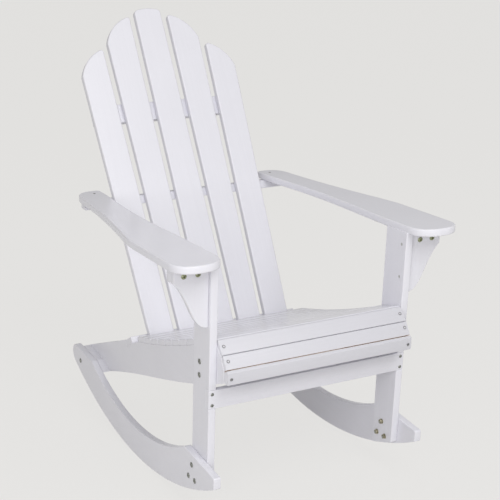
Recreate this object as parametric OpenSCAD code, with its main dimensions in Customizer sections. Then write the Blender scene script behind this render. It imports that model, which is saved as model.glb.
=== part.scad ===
// White painted adirondack rocking chair, made of flat boards that are screwed and bolted together.
// Every board is laid out in the joinery frame: X across the chair, Y from the front edge of the
// legs to the back, Z up from the lowest point of the rockers, with the legs plumb. stand() then
// rolls the whole chair on its rockers to the pose in which it balances by itself.
// Left and right are as seen from the front.

/* [Boards] */
// Thickness of the legs, stringers, rockers, apron and back
board_t = 18; // [15:0.5:22]
// Thickness of the arms
arm_t = 18; // [15:0.5:26]
// Thickness of the seat slats and of the two upper front boards
slat_t = 13; // [10:0.5:16]
// Length of the seat boards, which is the width between the front legs
seat_w = 480; // [460:1:560]

/* [Front legs and arms] */
// Depth of a front leg from front to back
leg_w = 83; // [74:1:110]
// Height of the arm's underside at the front edge of the legs
arm_h = 664; // [600:1:700]
// Slope of the arms down to the back, in degrees
arm_slope = 5.9; // [3:0.1:8]
// Reach of the arms in front of the legs
arm_front = 55.5; // [40:0.5:90]
// Reach of the arms behind the arm rail
arm_tail = 26; // [22:1:50]
// Setback of an arm's inner edge from the inner face of the leg
arm_inside = 2.5; // [0:0.5:10]
// How far an arm's inner edge is hollowed at its middle
arm_hollow = 8; // [0:1:16]
// How far the front of an arm overhangs its bracket on the outside
arm_outside = 18.5; // [6:0.5:26]
// How much further in the rear end of an arm lies than its front
arm_toe_in = 7.5; // [0:0.5:14]
// Width of an arm at its rear end
arm_rear_w = 71.5; // [60:0.5:90]
// Width of the bracket that carries the front of an arm
bracket_w = 83; // [70:1:100]
// Height of the bracket's outer end
bracket_end_h = 37; // [25:1:50]
// Drop of the bracket's curve below its outer end
bracket_drop = 114; // [80:1:150]
// Setback of the bracket behind the leg's front edge
bracket_in = 9; // [4:1:20]
// Thickness of the block behind the bracket
block_t = 20; // [15:1:26]
// Height of the block behind the bracket
block_h = 42; // [34:1:60]
// Height of the apron
apron_h = 46; // [36:1:60]
// Thickness of the apron, which is let into the legs
apron_t = 14; // [10:0.5:18]
// Height of the apron's lower edge
apron_z = 316; // [280:1:330]

/* [Rockers] */
// Radius of the curved sole of the rockers
sole_r = 1034; // [1000:1:1100]
// Distance from the front of the legs back to the lowest point of the sole
sole_mid = 473; // [450:1:500]
// Radius of the hollow in the rocker's upper edge
hollow_r = 712; // [690:1:740]
// Distance from the front of the legs back to the lowest point of the hollow
hollow_mid = 461; // [445:1:475]
// Height of the rocker at the bottom of its hollow
waist_h = 78; // [66:1:90]
// Height of the flat top of the toe
toe_h = 183; // [175:1:190]
// Reach of the toe in front of the legs
toe_reach = 72; // [50:1:90]
// Height at which the hollow meets the heel
heel_h = 124; // [118:1:130]
// Distance from the front of the legs back to the centre of the rounded tail
tail_y = 839; // [825:1:855]
// Radius of the rounded tail
tail_r = 26; // [22:0.5:28]
// Clearance of a leg's foot above the sole
foot_lift = 5.5; // [2:0.5:12]

/* [Seat] */
// Distance from the front of the legs back to the front corner of the stringers
nose_y = 3; // [0:0.5:10]
// Height of the front corner of the stringers
nose_h = 471; // [460:1:490]
// Width of the wide board at the front of the seat
wide_w = 78; // [60:1:86]
// Slope of the wide board down to the back, in degrees
wide_tilt = 20.5; // [15:0.5:24]
// Number of narrow seat slats
slats = 9; // [9]
// Width of a narrow seat slat
slat_w = 43.5; // [40:0.5:44]
// Gap between two seat slats
slat_gap = 2.5; // [1.5:0.1:3]
// Slope of the first narrow slat, in degrees
slat_tilt_front = 26; // [24:0.5:28]
// Slope of the last narrow slat, in degrees
slat_tilt_rear = 19; // [16:0.5:22]
// Height of the upper front board along its face
upper_w = 33; // [28:1:36]
// Slope of the upper front board, in degrees
upper_tilt = 42.7; // [38:0.1:46]
// Height of the middle front board along its face
middle_w = 30; // [26:1:34]
// Slope of the middle front board, in degrees
middle_tilt = 60; // [54:1:66]
// Height of the lower front board at its back face
lower_h = 26; // [22:1:32]
// Bevel on the top of the lower front board, in degrees
lower_bevel = 20; // [10:1:25]
// Gap between the front boards
front_gap = 1; // [0.4:0.1:2]

/* [Stringers] */
// Reveal of the stringer below the lower front board
chin = 2; // [0:0.5:10]
// Radius of the stringer's rounded rear end
stringer_end_r = 40; // [34:1:42]
// Length of the front handle of the curved lower edge
stringer_pull_front = 340; // [280:5:380]
// Length of the rear handle of the curved lower edge
stringer_pull_rear = 345; // [280:5:360]
// Slope of the lower edge at the front, in degrees
stringer_fall_front = 26.5; // [24:0.5:28]
// Slope of the lower edge at the rear, in degrees
stringer_fall_rear = 27; // [25:0.5:29]
// Drop from the front corner of the stringers to the upper bolt
leg_bolt_drop = 57; // [45:1:70]
// Distance between the two bolts of a stringer and its leg
leg_bolt_gap = 33; // [24:1:45]

/* [Back] */
// Slope of the back away from the legs, in degrees
back_tilt = 34.4; // [30:0.1:37]
// Gap between the last seat slat and the back
back_gap = 10.5; // [6:0.5:16]
// Length of the back slats below the seat
foot_drop = 51; // [40:1:56]
// Length of the centre slat from foot to crown
centre_len = 961; // [880:1:1000]
// Width of the centre slat
centre_w = 77.5; // [60:0.5:84]
// Width of the inner slats at the foot
inner_foot_w = 63; // [50:0.5:68]
// Width of the inner slats at the top
inner_head_w = 82; // [70:0.5:88]
// Width of the outer slats at the foot
outer_foot_w = 68; // [50:0.5:74]
// Width of the outer slats at the top
outer_head_w = 77.5; // [60:0.5:84]
// Gap between the back slats at the foot
fan_foot_gap = 15; // [8:0.5:18]
// Gap between the back slats at the top
fan_head_gap = 17.5; // [10:0.5:22]
// Drop from the crown to the high shoulder of the inner slats
inner_shoulder = 21; // [10:1:30]
// Drop from the crown to the high shoulder of the outer slats
outer_shoulder = 111; // [90:1:130]
// Fall of each slanted top across its slat
shoulder_fall = 75; // [60:1:80]
// Radius of the curved tops
crown_r = 110; // [90:1:150]
// Height of the upper brace
brace_h = 52; // [40:1:70]
// Distance from the feet of the slats up to the upper brace
brace_s = 642; // [580:1:690]
// Half length of the upper brace
brace_half = 216; // [200:1:218]
// Height of the arm rail
arm_rail_h = 19; // [17:1:30]
// Depth of the arm rail along the arms
arm_rail_w = 18; // [16:1:40]
// How far the arm rail stops short of the outer edge of the arms
arm_rail_in = 13; // [4:1:20]
// Thickness of the cleat behind the feet of the slats
cleat_t = 20; // [15:1:26]
// Height of the cleat behind the feet of the slats
cleat_h = 64; // [58:1:66]
// Width of the lower rail that lies on the stringers
lower_rail_w = 44; // [34:1:54]
// Distance from the feet of the slats up to the underside of the lower rail
lower_rail_s = 50; // [46:1:54]

/* [Fasteners] */
// Radius of the bolts
bolt_r = 3; // [2:0.25:4]
// Radius of a bolt's head
head_r = 6.5; // [5.5:0.5:7.5]
// Height of a bolt's head
head_h = 2.4; // [1.5:0.1:3]
// Size of a bolt head's hexagon socket across its corners
socket_d = 4.6; // [3:0.1:5]
// Radius of a screw
screw_r = 2; // [1.5:0.25:2.5]
// Radius of the round head of a screw in the apron
apron_head_r = 4; // [3.5:0.1:5]
// Radius of a sunk screw head
screw_head_r = 3.6; // [3:0.1:4]
// Height of a sunk screw head
screw_head_h = 2.6; // [2:0.1:3]
// Length of the screws that hold 13 mm boards
short_screw = 34; // [26:1:40]
// Length of the screws that hold full boards
long_screw = 42; // [38:1:50]
// Length of the screws that hold the back slats to their brace and cleat
back_screw = 31; // [26:1:34]
// Length of the screws that go through the arm rail into the back slats
rail_screw = 40; // [34:1:44]
// Length of the bolts that hold a bracket to its block
bracket_bolt = 34; // [28:1:38]
// Thickness of a washer
washer_t = 1.2; // [1:0.1:1.6]
// Height of a nut
nut_h = 5; // [4:0.5:6]
// Length of bolt that shows beyond its nut
bolt_tip = 1; // [0.5:0.5:3]

/* [Hidden] */
// Pose: angle, in degrees, at which the chair balances on its soles
lean = 5.954;
fit = 0.1;          // radial clearance around a fastener in its hole
eps = 0.01;
far = 2000;
$fn = 64;

leg_in = seat_w / 2;
leg_out = leg_in + board_t;
rocker_out = leg_out + board_t;
stringer_in = leg_in - board_t;
foot = seat_pt(slats) + [back_gap, 0] - foot_drop * up_back();
heel_bolt = [tail_y - 1.5 * tail_r, (sole_z(tail_y - 1.5 * tail_r) + heel_h) / 2];
leg_bolts = [for (i = [0:1]) [0.6 * leg_w, nose_h - leg_bolt_drop - i * leg_bolt_gap]];
foot_bolts = [[0.54 * leg_w, 0.86 * toe_h], [0.74 * leg_w, 0.66 * toe_h], [0.33 * leg_w, 0.68 * toe_h]];
apron_screw_z = [apron_z + 0.2 * apron_h, apron_z + 0.8 * apron_h];
arm_in = leg_in + arm_inside;
arm_out = leg_out + bracket_w + arm_outside;
arm_rear_in = arm_in - arm_toe_in;
arm_rear_out = arm_rear_in + arm_rear_w;
arm_len = arm_front + (rail_front()[0] + arm_rail_w) / cos(arm_slope) + arm_tail;
bracket_screw_drops = [for (part = [0.2, 0.735]) part * (bracket_end_h + bracket_drop)];
bolt_end = washer_t + nut_h + bolt_tip;
white = [0.93, 0.93, 0.95];
bronze = [0.28, 0.24, 0.17];
brass = [0.55, 0.52, 0.33];
zinc = [0.62, 0.62, 0.6];

// ---- points of the joinery, as [y, z] ----

// Height of the sole at a distance y from the front of the legs
function sole_z(y) = sole_r - sqrt(pow(sole_r, 2) - pow(y - sole_mid, 2));

// Height of the arms' underside at a distance y from the front of the legs
function under_arm(y) = arm_h - y * tan(arm_slope);

// Direction up the back, and direction through the back from its front face to its rear face
function up_back() = [sin(back_tilt), cos(back_tilt)];
function through_back() = [cos(back_tilt), -sin(back_tilt)];
function back_pt(s, through) = foot + s * up_back() + through * through_back();

// Slope of narrow seat slat i, and the point on the stringer where its rear edge lies
function slat_tilt(i) = slat_tilt_front - (i - 1) * (slat_tilt_front - slat_tilt_rear) / (slats - 1);
function fall(length, angle) = length * [cos(angle), -sin(angle)];
function seat_pt(i) = i < 0 ? [nose_y, nose_h]
    : seat_pt(i - 1) + (i == 0 ? fall(wide_w, wide_tilt) : fall(slat_w + slat_gap, slat_tilt(i)));

// Corners of the stringer behind the front boards
function upper_pt() = seat_pt(-1) - upper_w * [cos(upper_tilt), sin(upper_tilt)];
function middle_pt() = upper_pt() - middle_w * [cos(middle_tilt), sin(middle_tilt)];

// Points of a cubic Bezier curve from a to d with the handles b and c
function bezier(a, b, c, d, steps = 16) = [for (i = [0:steps]) let (t = i / steps, u = 1 - t)
    u * u * u * a + 3 * u * u * t * b + 3 * u * t * t * c + t * t * t * d];

// Points of an arc about c with the radius r, between the angles a and b
function arc(c, r, a, b, steps = 24) = [for (i = [0:steps]) let (t = a + (b - a) * i / steps)
    c + r * [cos(t), sin(t)]];

// Points of a rounded corner that leaves p towards c and ends at q
function corner(p, c, q, steps = 10) = bezier(p, p + 0.6 * (c - p), q + 0.6 * (c - q), q, steps);

// Angle, about c, at which a line from p touches the upper side of the circle of radius r about c
function touch_angle(p, c, r) = let (v = p - c) atan2(v[1], v[0]) - acos(r / norm(v));

// Centre of the circle of radius r through p and q, on the lower side of the line from p to q
function arc_centre(p, q, r) = let (v = q - p, n = [v[1], -v[0]] / norm(v))
    (p + q) / 2 + sqrt(r * r - v * v / 4) * n;

// ---- placing ----

// The chair as it stands by itself, with its origin on the floor under the middle of its box
function rolled(p) = [sole_mid, sole_r] + [
    (p[0] - sole_mid) * cos(lean) - (p[1] - sole_r) * sin(lean),
    (p[0] - sole_mid) * sin(lean) + (p[1] - sole_r) * cos(lean)];
arm_nose = [-arm_front * cos(arm_slope), arm_h + arm_front * sin(arm_slope)];
box_mid = (rolled(arm_nose)[0] + rolled(back_pt(centre_len, board_t))[0]) / 2;

module stand() {
    translate([0, sole_mid - box_mid, sole_r]) rotate([lean, 0, 0])
        translate([0, -sole_mid, -sole_r]) children();
}

// Mirrors what is built on the right to the left, and makes one of each
module left() { mirror([1, 0, 0]) children(); }
module both() { children(); left() children(); }

// A flat shape drawn in Y and Z, made t thick from x outwards
module upright(x, t) { translate([x, 0, 0]) rotate([90, 0, 90]) linear_extrude(t) children(); }

// A board across the chair, from its section drawn in Y and Z
module across(half) { upright(-half, 2 * half) children(); }

// The frame of the back: X across, Y up the slats, Z out of their front face
module on_back() { translate([0, foot[0], foot[1]]) rotate([90 - back_tilt, 0, 0]) children(); }

// The section frame of the back: X through the slats, Y up them
module back_section() { translate(foot) rotate(-back_tilt) children(); }

// The frame of the arms: X across, Y along them, Z up from their underside
module on_arm() { translate([0, 0, arm_h]) rotate([-arm_slope, 0, 0]) children(); }

// Keeps what lies below the arms' underside
module below_arm() {
    intersection() {
        children();
        on_arm() translate([-far / 2, -far / 2, -far]) cube([far, far, far]);
    }
}

// ---- fasteners ----

// A rod along X through the points, from x0 to x1, used for shanks and for their holes
module rods(points, x0, x1, r) {
    for (p = points) translate([x0, p[0], p[1]]) rotate([0, 90, 0]) cylinder(h = x1 - x0, r = r);
}

// A bolt along X with a low round head and a hexagon socket, its head seated at x
module bolt_across(p, x, x_end) {
    translate([x, p[0], p[1]]) rotate([0, 90, 0]) {
        difference() {
            union() {
                cylinder(h = 0.4 * head_h, r = head_r);
                translate([0, 0, 0.4 * head_h]) cylinder(h = 0.6 * head_h, r1 = head_r, r2 = 0.8 * head_r);
            }
            translate([0, 0, 0.25 * head_h]) cylinder(h = head_h, d = socket_d, $fn = 6);
        }
        translate([0, 0, x_end - x]) cylinder(h = x - x_end, r = bolt_r);
    }
}

// A countersunk wood screw whose head lies flush at the origin and whose shank runs down -Z
module sunk_screw(length, grow = 0) {
    translate([0, 0, -screw_head_h])
        cylinder(h = screw_head_h, r1 = screw_r + grow, r2 = screw_head_r + grow);
    translate([0, 0, -length - grow]) cylinder(h = length - screw_head_h + 2 * grow, r = screw_r + grow);
    if (grow > 0) translate([0, 0, -eps]) cylinder(h = 1, r = screw_head_r + grow);
}

// A round-headed screw whose head sits on the surface at the origin
module round_screw(length, r, grow = 0) {
    if (grow == 0) intersection() {
        cylinder(h = 0.5 * r, r = r);
        translate([0, 0, -r]) sphere(r = sqrt(2) * r);
    }
    translate([0, 0, -length - grow]) cylinder(h = length + 2 * grow, r = screw_r + grow);
}

// Places where the screws go, each with its -Z into the wood
module at_apron_screws() {
    for (z = apron_screw_z) translate([leg_in + board_t / 2, 0, z]) rotate([90, 0, 0]) children();
}
module at_arm_screw() {
    rail_mid = rail_front()[0] + arm_rail_w / 2;
    on_arm() translate([arm_rear_in + 0.35 * arm_rear_w, rail_mid / cos(arm_slope), arm_t]) children();
}
module at_bracket_bolts() {
    for (x = [0.32, 0.72]) translate([leg_out + x * bracket_w, bracket_in, under_arm(0) - 0.56 * block_h])
        rotate([90, 0, 0]) children();
}
module at_bracket_screws() {
    for (drop = bracket_screw_drops) translate([leg_in, bracket_in + board_t / 2, arm_h - drop])
        rotate([0, -90, 0]) children();
}
module at_front_board_screws() {
    x = leg_in - board_t / 2;
    faces = [[seat_pt(-1), upper_pt(), upper_tilt], [upper_pt(), middle_pt(), middle_tilt]];
    for (f = faces) let (p = (f[0] + f[1]) / 2)
        translate([x, p[0], p[1]]) rotate([f[2], 0, 0]) translate([0, 0, slat_t]) children();
    translate([x, middle_pt()[0] - board_t, middle_pt()[1] - 0.6 * lower_h]) rotate([90, 0, 0]) children();
    on_slat(seat_pt(-1), wide_tilt) translate([x, 0.25 * wide_w, slat_t]) children();
}
module at_slat_screws(i) {
    on_slat(seat_pt(i - 1), slat_tilt(i))
        translate([leg_in - board_t / 2, (slat_w + slat_gap) / 2, slat_t]) children();
}
module at_brace_screws(s, through) {
    for (k = [-2:2], side = [-1, 1]) let (edges = slat_edges(k, s))
        on_back() translate([(edges[0] + edges[1]) / 2 + 0.22 * side * (edges[1] - edges[0]), s, -through])
            rotate([180, 0, 0]) children();
}
module at_arm_rail_screws() {
    rear = rail_front() + [arm_rail_w, -arm_rail_w * tan(arm_slope) - arm_rail_h / 2];
    for (k = [-2:2]) let (edges = slat_edges(k, arm_rail_s()))
        translate([(edges[0] + edges[1]) / 2, rear[0], rear[1]]) rotate([-90, 0, 0]) children();
}
module at_lower_rail_screws() {
    for (w = [0.3, 0.7]) let (p = back_pt(lower_rail_s + board_t, board_t + cleat_t + w * lower_rail_w))
        translate([leg_in - board_t / 2, p[0], p[1]]) rotate([-back_tilt, 0, 0]) children();
}

// The frame of a seat board: X across, Y down its slope from its front edge at p, Z up from its underside
module on_slat(p, tilt) { translate([0, p[0], p[1]]) rotate([-tilt, 0, 0]) children(); }

// ---- outlines ----

module sole_disc(r) { translate([sole_mid, sole_r]) circle(r, $fn = 240); }

module rocker_outline() {
    overrun = 20; // how far the straight edges run on over the hollow, which trims them
    hollow = [hollow_mid, waist_h + hollow_r];
    toe_end = hollow_mid - sqrt(pow(hollow_r, 2) - pow(hollow[1] - toe_h, 2));
    heel_start = hollow_mid + sqrt(pow(hollow_r, 2) - pow(hollow[1] - heel_h, 2));
    // the tail's circle reaches a little through the sole, which trims it
    tail_off = tail_y - sole_mid;
    tail = [tail_y, sole_r - sqrt(pow(sole_r - tail_r + 0.3, 2) - pow(tail_off, 2))];
    heel = [heel_start, heel_h];
    tail_top = tail + [0, tail_r];
    intersection() {
        sole_disc(sole_r);
        difference() {
            polygon(concat(
                [[-toe_reach, 0], [-toe_reach, toe_h], [toe_end + overrun, toe_h],
                 heel + overrun * (heel - tail_top) / norm(heel - tail_top)],
                arc(tail, tail_r, 90, atan2(tail[1] - sole_r, tail_off)), [[tail_y, 0]]));
            translate(hollow) circle(hollow_r, $fn = 240);
        }
    }
}

module stringer_outline() {
    front = [middle_pt()[0], middle_pt()[1] - lower_h - chin];
    rear = heel_bolt - stringer_end_r * [sin(stringer_fall_rear), cos(stringer_fall_rear)];
    rail_bottom = back_pt(lower_rail_s, board_t + cleat_t + lower_rail_w);
    rail_top = back_pt(lower_rail_s + board_t, board_t + cleat_t + lower_rail_w);
    polygon(concat(
        [middle_pt(), upper_pt()],
        [for (i = [-1:slats]) seat_pt(i)],
        [back_pt(lower_rail_s, board_t + cleat_t), rail_bottom, rail_top],
        arc(heel_bolt, stringer_end_r, touch_angle(rail_top, heel_bolt, stringer_end_r),
            -90 - stringer_fall_rear),
        bezier(rear, rear - fall(stringer_pull_rear, stringer_fall_rear),
            front + fall(stringer_pull_front, stringer_fall_front), front)));
}

// Point on an arm, in X and along it, at a part of its length from front to rear
function arm_pt(x, part) = [x, part * arm_len - arm_front];

module arm_outline() {
    waist = arm_in + arm_hollow;
    round_w = 0.49 * (arm_out - arm_in);
    outer_round_w = 0.45 * (arm_out - arm_in);
    front = -arm_front;
    rear = arm_len - arm_front;
    polygon(concat(
        bezier(arm_pt(arm_rear_in, 0.983), arm_pt(arm_rear_in, 0.855),
            arm_pt(waist, 0.75), arm_pt(waist, 0.56)),
        bezier(arm_pt(waist, 0.55), arm_pt(waist, 0.415),
            arm_pt(arm_in, 0.29), arm_pt(arm_in, 0.15)),
        corner([arm_in, front + round_w], [arm_in, front], [arm_in + round_w, front]),
        corner([arm_out - outer_round_w, front], [arm_out, front], [arm_out, front + outer_round_w]),
        bezier(arm_pt(arm_out, 0.316), arm_pt(arm_out, 0.41),
            arm_pt(arm_rear_out + 0.2 * arm_rear_w, 0.58), arm_pt(arm_rear_out, 0.915)),
        corner([arm_rear_out, rear - 0.88 * arm_rear_w], [arm_rear_out, rear],
            [arm_rear_in + 0.38 * arm_rear_w, rear]),
        corner([arm_rear_in + 0.18 * arm_rear_w, rear], [arm_rear_in, rear],
            [arm_rear_in, rear - 0.18 * arm_rear_w], 6)));
}

// The bracket from the front, in X and Z
module bracket_outline() {
    outer = leg_out + bracket_w;
    shelf = arm_h - bracket_end_h;
    polygon(concat(
        [[leg_out, arm_h + arm_t], [outer, arm_h + arm_t]],
        bezier([outer, shelf], [outer - bracket_w / 2, shelf - 0.38 * bracket_drop],
            [outer - bracket_w / 2, shelf - bracket_drop], [leg_out, shelf - bracket_drop])));
}

// Inner and outer edge, in X, of back slat k at the distance s up from its foot: 0 is the centre
// slat, 1 and 2 lie to the right of it and -1 and -2 to the left
function fan(foot_x, head_x, s) = foot_x + (head_x - foot_x) * s / centre_len;
function slat_edges(k, s) =
    let (n = abs(k),
         foot_w = [centre_w, inner_foot_w, outer_foot_w],
         head_w = [centre_w, inner_head_w, outer_head_w],
         foot_x = centre_w / 2 + n * fan_foot_gap + (n == 2 ? inner_foot_w : 0),
         head_x = centre_w / 2 + n * fan_head_gap + (n == 2 ? inner_head_w : 0),
         near = fan(foot_x, head_x, s),
         out = fan(foot_x + foot_w[n], head_x + head_w[n], s))
    n == 0 ? [-centre_w / 2, centre_w / 2] : k > 0 ? [near, out] : [-near, -out];

// A slat of the right half of the back, with its top cut to an arc between two shoulders
module back_slat_outline(k) {
    high = centre_len - (k == 1 ? inner_shoulder : outer_shoulder);
    low = high - shoulder_fall;
    p = [slat_edges(k, high)[0], high];
    q = [slat_edges(k, low)[1], low];
    middle = arc_centre(p, q, crown_r);
    intersection() {
        polygon([[slat_edges(k, 0)[0], 0], [slat_edges(k, centre_len)[0], centre_len],
            [slat_edges(k, centre_len)[1], centre_len], [slat_edges(k, 0)[1], 0]]);
        union() {
            translate(middle) circle(crown_r, $fn = 128);
            translate(middle) rotate(atan2(q[1] - p[1], q[0] - p[0]))
                translate([-far, -far]) square([2 * far, far + 0.75 * crown_r]);
        }
    }
}

module centre_slat_outline() {
    drop = crown_r - sqrt(pow(crown_r, 2) - pow(centre_w / 2, 2));
    translate([-centre_w / 2, 0]) square([centre_w, centre_len - drop]);
    intersection() {
        translate([-centre_w / 2, 0]) square([centre_w, centre_len]);
        translate([0, centre_len - crown_r]) circle(crown_r, $fn = 128);
    }
}

// Front top corner of the arm rail, where the rear face of the slats meets the arms' underside
function rail_front() = let (p = back_pt(0, board_t), slope = tan(back_tilt), drop = tan(arm_slope),
    z = (arm_h - drop * (p[0] - slope * p[1])) / (1 + drop * slope)) [p[0] + slope * (z - p[1]), z];
function arm_rail_s() = (rail_front()[1] - arm_rail_h / 2 - foot[1]) / cos(back_tilt);

// ---- boards ----

module front_leg() {
    color(white) difference() {
        upright(leg_in, board_t) difference() {
            intersection() {
                polygon([[0, 0], [0, under_arm(0)], [leg_w, under_arm(leg_w)], [leg_w, 0]]);
                sole_disc(sole_r - foot_lift);
            }
            translate([-eps, apron_z]) square([apron_t + eps, apron_h]);
        }
        rods(leg_bolts, leg_in - 1, leg_out + 1, bolt_r + fit);
        rods(foot_bolts, leg_in - 1, leg_out + 1, bolt_r + fit);
        at_apron_screws() round_screw(long_screw, apron_head_r, fit);
        at_bracket_screws() sunk_screw(long_screw, fit);
    }
}
module left_front_leg() { left() front_leg(); }
module right_front_leg() { front_leg(); }

module stringer() {
    color(white) difference() {
        upright(stringer_in, board_t) stringer_outline();
        rods(leg_bolts, stringer_in - 1, leg_in + 1, bolt_r + fit);
        rods([heel_bolt], stringer_in - 1, leg_in + 1, bolt_r + fit);
        at_front_board_screws() sunk_screw(short_screw, fit);
        for (i = [1:slats]) at_slat_screws(i) sunk_screw(short_screw, fit);
        at_lower_rail_screws() sunk_screw(long_screw, fit);
    }
}
module left_stringer() { left() stringer(); }
module right_stringer() { stringer(); }

module rocker() {
    color(white) difference() {
        upright(leg_out, board_t) rocker_outline();
        rods(foot_bolts, leg_out - 1, rocker_out + 1, bolt_r + fit);
        rods([heel_bolt], leg_out - 1, rocker_out + 1, bolt_r + fit);
    }
}
module left_rocker() { left() rocker(); }
module right_rocker() { rocker(); }

module rocker_spacer() {
    color(white) difference() {
        upright(leg_in, board_t) intersection() {
            rocker_outline();
            stringer_outline();
        }
        rods([heel_bolt], leg_in - 1, leg_out + 1, bolt_r + fit);
    }
}
module left_rocker_spacer() { left() rocker_spacer(); }
module right_rocker_spacer() { rocker_spacer(); }

module arm() {
    color(white) difference() {
        on_arm() linear_extrude(arm_t) arm_outline();
        at_arm_screw() sunk_screw(short_screw, fit);
    }
}
module left_arm() { left() arm(); }
module right_arm() { arm(); }

module arm_bracket() {
    color(white) difference() {
        below_arm() translate([0, bracket_in + board_t, 0]) rotate([90, 0, 0])
            linear_extrude(board_t) bracket_outline();
        at_bracket_bolts() round_screw(bracket_bolt, head_r, fit);
        at_bracket_screws() sunk_screw(long_screw, fit);
    }
}
module left_arm_bracket() { left() arm_bracket(); }
module right_arm_bracket() { arm_bracket(); }

module arm_block() {
    color(white) difference() {
        below_arm() translate([leg_out, bracket_in + board_t, arm_h - block_h])
            cube([bracket_w, block_t, block_h]);
        at_bracket_bolts() round_screw(bracket_bolt, head_r, fit);
    }
}
module left_arm_block() { left() arm_block(); }
module right_arm_block() { arm_block(); }

module front_apron() {
    color(white) difference() {
        across(leg_out) translate([0, apron_z]) square([apron_t, apron_h]);
        both() at_apron_screws() round_screw(long_screw, apron_head_r, fit);
    }
}

module screwed_front_board() {
    color(white) difference() {
        children();
        both() at_front_board_screws() sunk_screw(short_screw, fit);
    }
}

// The upper board ends level with the seat and butts against the wide board
module upper_front_board() {
    corner = seat_pt(-1);
    top = corner[1] + slat_t * cos(wide_tilt);
    screwed_front_board() across(leg_in) difference() {
        translate(upper_pt()) rotate(upper_tilt) translate([front_gap / 2, 0])
            square([upper_w + 2 * slat_t, slat_t]);
        translate([corner[0] - far / 2, top]) square([far, far]);
        translate(corner) rotate(-wide_tilt) translate([-front_gap, -far / 2]) square([far, far]);
    }
}

module middle_front_board() {
    screwed_front_board() across(leg_in) translate(middle_pt()) rotate(middle_tilt)
        translate([front_gap / 2, 0]) square([middle_w - front_gap, slat_t]);
}

module lower_front_board() {
    p = middle_pt();
    rise = board_t * tan(lower_bevel);
    screwed_front_board() across(leg_in) polygon([[p[0], p[1] - lower_h], [p[0], p[1] - 2 * front_gap],
        [p[0] - board_t, p[1] - 2 * front_gap + rise], [p[0] - board_t, p[1] - lower_h]]);
}

module wide_seat_board() {
    screwed_front_board() on_slat(seat_pt(-1), wide_tilt) translate([-leg_in, 0, 0])
        cube([seat_w, wide_w - slat_gap / 2, slat_t]);
}

module seat_slat(i) {
    color(white) difference() {
        on_slat(seat_pt(i - 1), slat_tilt(i)) translate([-leg_in, slat_gap / 2, 0])
            cube([seat_w, slat_w, slat_t]);
        both() at_slat_screws(i) sunk_screw(short_screw, fit);
    }
}

module back_slat(k) {
    color(white) difference() {
        on_back() translate([0, 0, -board_t]) linear_extrude(board_t) {
            if (k == 0) centre_slat_outline();
            else mirror([k < 0 ? 1 : 0, 0]) back_slat_outline(abs(k));
        }
        at_brace_screws(brace_s + brace_h / 2, 2 * board_t) sunk_screw(back_screw, fit);
        at_brace_screws(cleat_h / 3, board_t + cleat_t) sunk_screw(back_screw, fit);
        at_arm_rail_screws() sunk_screw(rail_screw, fit);
    }
}

module upper_back_brace() {
    color(white) difference() {
        across(brace_half) back_section() translate([board_t, brace_s]) square([board_t, brace_h]);
        at_brace_screws(brace_s + brace_h / 2, 2 * board_t) sunk_screw(back_screw, fit);
    }
}

module arm_rail() {
    front = rail_front();
    rear = front + [arm_rail_w, -arm_rail_w * tan(arm_slope)];
    color(white) difference() {
        across(arm_rear_out - arm_rail_in) polygon([front, rear, rear - [0, arm_rail_h],
            front - [arm_rail_h * tan(back_tilt), arm_rail_h]]);
        both() at_arm_screw() sunk_screw(short_screw, fit);
        at_arm_rail_screws() sunk_screw(rail_screw, fit);
    }
}

module back_cleat() {
    color(white) difference() {
        across(stringer_in) back_section() translate([board_t, 0]) square([cleat_t, cleat_h]);
        at_brace_screws(cleat_h / 3, board_t + cleat_t) sunk_screw(back_screw, fit);
    }
}

module lower_back_rail() {
    color(white) difference() {
        across(leg_in) back_section() translate([board_t + cleat_t, lower_rail_s])
            square([lower_rail_w, board_t]);
        both() at_lower_rail_screws() sunk_screw(long_screw, fit);
    }
}

// ---- bolts, nuts, washers and screws ----

module stringer_bolts() {
    color(bronze) both() for (p = leg_bolts) bolt_across(p, leg_out, stringer_in - bolt_end);
}
module rocker_front_bolts() {
    color(bronze) both() for (p = foot_bolts) bolt_across(p, rocker_out, leg_in - bolt_end);
}
module rocker_rear_bolts() {
    color(bronze) both() bolt_across(heel_bolt, rocker_out, stringer_in - bolt_end);
}

// Each bolt's inner end, as [x, points]
bolt_ends = [[stringer_in, leg_bolts], [leg_in, foot_bolts], [stringer_in, [heel_bolt]]];

module bolt_washers() {
    color(zinc) both() for (e = bolt_ends) difference() {
        rods(e[1], e[0] - washer_t, e[0], head_r);
        rods(e[1], e[0] - washer_t - 1, e[0] + 1, bolt_r + fit);
    }
}
module bolt_nuts() {
    color(zinc) both() for (e = bolt_ends) difference() {
        for (p = e[1]) translate([e[0] - washer_t - nut_h, p[0], p[1]]) rotate([0, 90, 0])
            cylinder(h = nut_h, r = 1.9 * bolt_r, $fn = 6);
        rods(e[1], e[0] - far, e[0], bolt_r + fit);
    }
}

module apron_screws() { color(bronze) both() at_apron_screws() round_screw(long_screw, apron_head_r); }
module arm_screws() { color(bronze) both() at_arm_screw() sunk_screw(short_screw); }
module bracket_bolts() { color(brass) both() at_bracket_bolts() round_screw(bracket_bolt, head_r); }
module bracket_screws() { color(zinc) both() at_bracket_screws() sunk_screw(long_screw); }
module front_board_screws() { color(zinc) both() at_front_board_screws() sunk_screw(short_screw); }
module seat_slat_screws() {
    color(white) both() for (i = [1:slats]) at_slat_screws(i) sunk_screw(short_screw);
}
module brace_screws() {
    color(zinc) at_brace_screws(brace_s + brace_h / 2, 2 * board_t) sunk_screw(back_screw);
}
module arm_rail_screws() { color(zinc) at_arm_rail_screws() sunk_screw(rail_screw); }
module back_cleat_screws() {
    color(zinc) at_brace_screws(cleat_h / 3, board_t + cleat_t) sunk_screw(back_screw);
}
module lower_rail_screws() { color(zinc) both() at_lower_rail_screws() sunk_screw(long_screw); }

// ---- the pieces ----

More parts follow.
